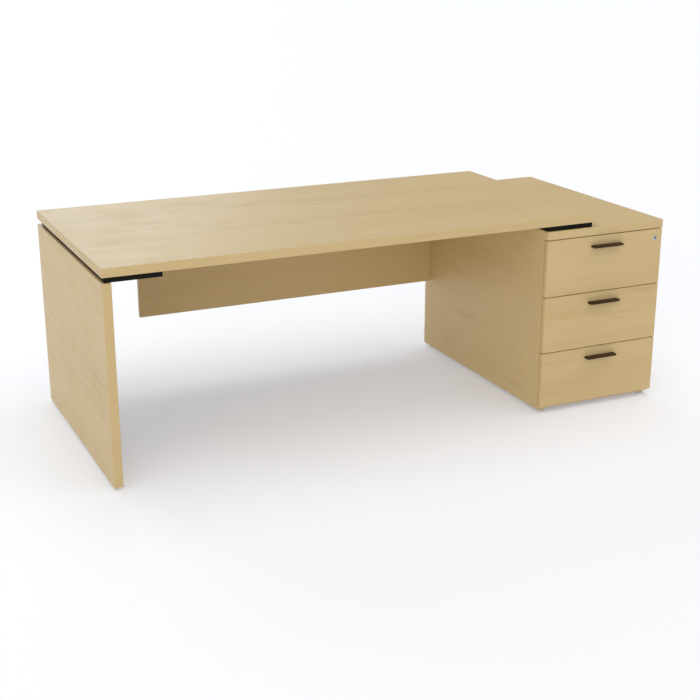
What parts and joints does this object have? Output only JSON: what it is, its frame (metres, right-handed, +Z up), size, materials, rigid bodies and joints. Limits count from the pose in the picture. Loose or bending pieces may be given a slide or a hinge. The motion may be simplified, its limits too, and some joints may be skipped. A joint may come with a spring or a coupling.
{
  "type": "pedestal desk",
  "caption": "Office desk with a wood-look worktop raised on black rails over a slab leg and a drawer pedestal that stands out past the right end, with a modesty panel.",
  "frame": {"origin": "on the floor, under the middle of the whole desk", "axes": "+X to the sitter's right, +Y away from the sitter, +Z up"},
  "size_m": [2.1, 0.925, 0.735],
  "materials": {
    "laminate": "satin beech-look laminate",
    "box_board": "pale melamine",
    "rail_black": "matt powder coat",
    "cap_plastic": "matt",
    "foot_plastic": "matt",
    "pull_bronze": "satin dark bronze",
    "lock_nickel": "nickel plate",
    "dowel_wood": "raw",
    "zinc_steel": "zinc plate"
  },
  "bodies": {
    "desk": {"worktop": "laminate", "slab_leg": "laminate", "modesty_panel": "laminate", "pedestal_top": "laminate", "pedestal_left_side": "laminate", "pedestal_right_side": "laminate", "pedestal_bottom": "laminate", "pedestal_back": "laminate", "leg_rail": "rail_black", "pedestal_rail": "rail_black", "rail_end_caps": "cap_plastic", "carcass_dowels": "dowel_wood", "rail_bolts": "zinc_steel", "pedestal_bolts": "zinc_steel", "threaded_inserts": "zinc_steel", "modesty_brackets": "zinc_steel", "modesty_screws": "zinc_steel", "carcass_cams": "zinc_steel", "carcass_cam_bolts": "zinc_steel", "runner_screws": "zinc_steel", "foot_inserts": "zinc_steel", "drawer_1_cabinet_runners": "zinc_steel", "drawer_2_cabinet_runners": "zinc_steel", "drawer_3_cabinet_runners": "zinc_steel"},
    "drawer_1": {"drawer_1_front": "laminate", "drawer_1_left_side": "box_board", "drawer_1_right_side": "box_board", "drawer_1_back": "box_board", "drawer_1_bottom": "box_board", "drawer_1_pull": "pull_bronze", "lock_housing": "lock_nickel", "drawer_1_drawer_runners": "zinc_steel", "drawer_1_fixings": "zinc_steel"},
    "runner_1": {"drawer_1_middle_runners": "zinc_steel"},
    "drawer_2": {"drawer_2_front": "laminate", "drawer_2_left_side": "box_board", "drawer_2_right_side": "box_board", "drawer_2_back": "box_board", "drawer_2_bottom": "box_board", "drawer_2_pull": "pull_bronze", "drawer_2_drawer_runners": "zinc_steel", "drawer_2_fixings": "zinc_steel"},
    "runner_2": {"drawer_2_middle_runners": "zinc_steel"},
    "drawer_3": {"drawer_3_front": "laminate", "drawer_3_left_side": "box_board", "drawer_3_right_side": "box_board", "drawer_3_back": "box_board", "drawer_3_bottom": "box_board", "drawer_3_pull": "pull_bronze", "drawer_3_drawer_runners": "zinc_steel", "drawer_3_fixings": "zinc_steel"},
    "runner_3": {"drawer_3_middle_runners": "zinc_steel"},
    "lock_barrel": {"lock_barrel": "lock_nickel"},
    "locking_bar": {"locking_bar": "zinc_steel"},
    "leg_foot_front": {"leg_foot_front": "foot_plastic"},
    "leg_foot_back": {"leg_foot_back": "foot_plastic"},
    "pedestal_foot_front_left": {"pedestal_foot_front_left": "foot_plastic"},
    "pedestal_foot_front_right": {"pedestal_foot_front_right": "foot_plastic"},
    "pedestal_foot_back_left": {"pedestal_foot_back_left": "foot_plastic"},
    "pedestal_foot_back_right": {"pedestal_foot_back_right": "foot_plastic"}
  },
  "joints": [
    {"name": "drawer_1_slide", "type": "slide", "parent": "desk", "child": "drawer_1", "axis": [0, -1, 0], "range_m": [0, 0.56]},
    {"name": "runner_1_slide", "type": "slide", "parent": "desk", "child": "runner_1", "axis": [0, -1, 0], "range_m": [0, 0.28]},
    {"name": "drawer_2_slide", "type": "slide", "parent": "desk", "child": "drawer_2", "axis": [0, -1, 0], "range_m": [0, 0.56]},
    {"name": "runner_2_slide", "type": "slide", "parent": "desk", "child": "runner_2", "axis": [0, -1, 0], "range_m": [0, 0.28]},
    {"name": "drawer_3_slide", "type": "slide", "parent": "desk", "child": "drawer_3", "axis": [0, -1, 0], "range_m": [0, 0.56]},
    {"name": "runner_3_slide", "type": "slide", "parent": "desk", "child": "runner_3", "axis": [0, -1, 0], "range_m": [0, 0.28]},
    {"name": "lock_turn", "type": "hinge", "parent": "drawer_1", "child": "lock_barrel", "pos_m": [1.017, -0.4375, 0.62], "axis": [0, -1, 0], "range_deg": [0, 90]},
    {"name": "bar_lift", "type": "slide", "parent": "desk", "child": "locking_bar", "axis": [0, 0, 1], "range_m": [0, 0.00848]},
    {"name": "leg_foot_front_turn", "type": "hinge", "parent": "desk", "child": "leg_foot_front", "pos_m": [-1.035, -0.3425, 0], "axis": [0, 0, 1], "continuous": true},
    {"name": "leg_foot_back_turn", "type": "hinge", "parent": "desk", "child": "leg_foot_back", "pos_m": [-1.035, 0.3675, 0], "axis": [0, 0, 1], "continuous": true},
    {"name": "pedestal_foot_front_left_turn", "type": "hinge", "parent": "desk", "child": "pedestal_foot_front_left", "pos_m": [0.577, -0.4025, 0], "axis": [0, 0, 1], "continuous": true},
    {"name": "pedestal_foot_front_right_turn", "type": "hinge", "parent": "desk", "child": "pedestal_foot_front_right", "pos_m": [1.023, -0.4025, 0], "axis": [0, 0, 1], "continuous": true},
    {"name": "pedestal_foot_back_left_turn", "type": "hinge", "parent": "desk", "child": "pedestal_foot_back_left", "pos_m": [0.577, 0.4275, 0], "axis": [0, 0, 1], "continuous": true},
    {"name": "pedestal_foot_back_right_turn", "type": "hinge", "parent": "desk", "child": "pedestal_foot_back_right", "pos_m": [1.023, 0.4275, 0], "axis": [0, 0, 1], "continuous": true}
  ],
  "couplings": [
    {"joint": "runner_1_slide", "follows": "drawer_1_slide", "ratio": 0.5},
    {"joint": "runner_2_slide", "follows": "drawer_2_slide", "ratio": 0.5},
    {"joint": "runner_3_slide", "follows": "drawer_3_slide", "ratio": 0.5},
    {"joint": "lock_turn", "follows": "bar_lift", "rad_per_m": 185.2}
  ]
}
